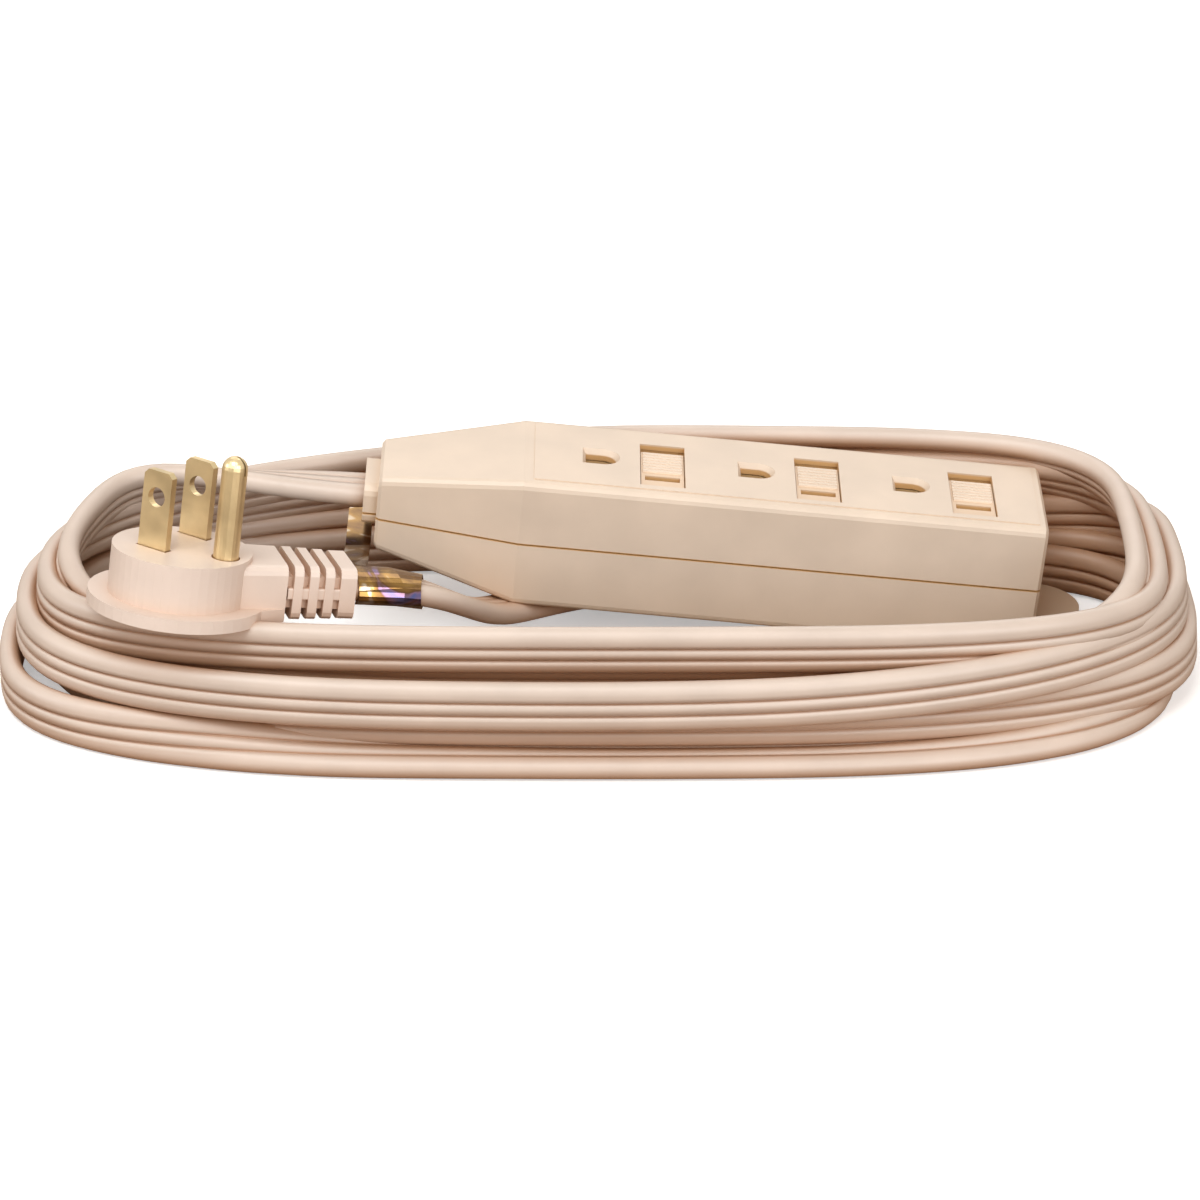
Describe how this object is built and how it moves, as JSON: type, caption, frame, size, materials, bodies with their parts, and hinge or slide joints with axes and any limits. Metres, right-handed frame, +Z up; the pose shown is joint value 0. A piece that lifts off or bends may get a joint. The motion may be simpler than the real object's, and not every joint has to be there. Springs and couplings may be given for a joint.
{
  "type": "extension cord",
  "caption": "Flat extension cord wound in an oval coil, with a moulded flat plug and a power tap that has sliding safety covers.",
  "frame": {"origin": "on the floor under the middle of the power tap (cord, coil and plug left out)", "axes": "+Z up, +X along the tap from the cord entry to the hanging ear, +Y across it towards the neutral slots"},
  "size_m": [0.23, 0.101, 0.0564],
  "materials": {
    "casing": "satin, fine moulded grain, warm yellowish beige",
    "cover": "satin, ridged grip",
    "cord": "soft satin PVC jacket, pinkish beige",
    "plug": "satin moulded PVC, pinkish beige",
    "brass": "drawn brass with light wear",
    "insulator": "dull moulded insulator",
    "wire_dark": "black conductor insulation",
    "wire_green": "green conductor insulation",
    "wire_white": "white conductor insulation",
    "steel": "plated steel screw",
    "foil": "iridescent gold foil label without lettering"
  },
  "bodies": {
    "root": {"tap_upper_shell": "casing", "tap_lower_shell": "casing", "contact_carrier": "insulator", "cord_clamp": "insulator", "plug_bridge": "insulator", "hot_bus": "brass", "neutral_bus": "brass", "ground_bus": "brass", "hot_wire": "wire_dark", "ground_wire": "wire_green", "neutral_wire": "wire_white", "assembly_screw_1": "steel", "assembly_screw_2": "steel", "assembly_screw_3": "steel", "plug_body": "plug", "plug_strain_relief": "plug", "blade_hot": "brass", "blade_neutral": "brass", "ground_pin": "brass", "cord_tap_lead": "cord", "cord_plug_lead": "cord", "cord_label": "foil", "cord_label_flag": "foil", "cord_coil_left": "cord", "cord_coil_front": "cord", "cord_coil_right": "cord", "cord_coil_back": "cord"},
    "cover_1": {"slide_cover_1": "cover"},
    "cover_2": {"slide_cover_2": "cover"},
    "cover_3": {"slide_cover_3": "cover"}
  },
  "joints": [
    {"name": "cover_1_slide", "type": "slide", "parent": "root", "child": "cover_1", "axis": [0, 1, 0], "range_m": [0, 0.0022]},
    {"name": "cover_2_slide", "type": "slide", "parent": "root", "child": "cover_2", "axis": [0, 1, 0], "range_m": [0, 0.0022]},
    {"name": "cover_3_slide", "type": "slide", "parent": "root", "child": "cover_3", "axis": [0, 1, 0], "range_m": [0, 0.0022]}
  ]
}
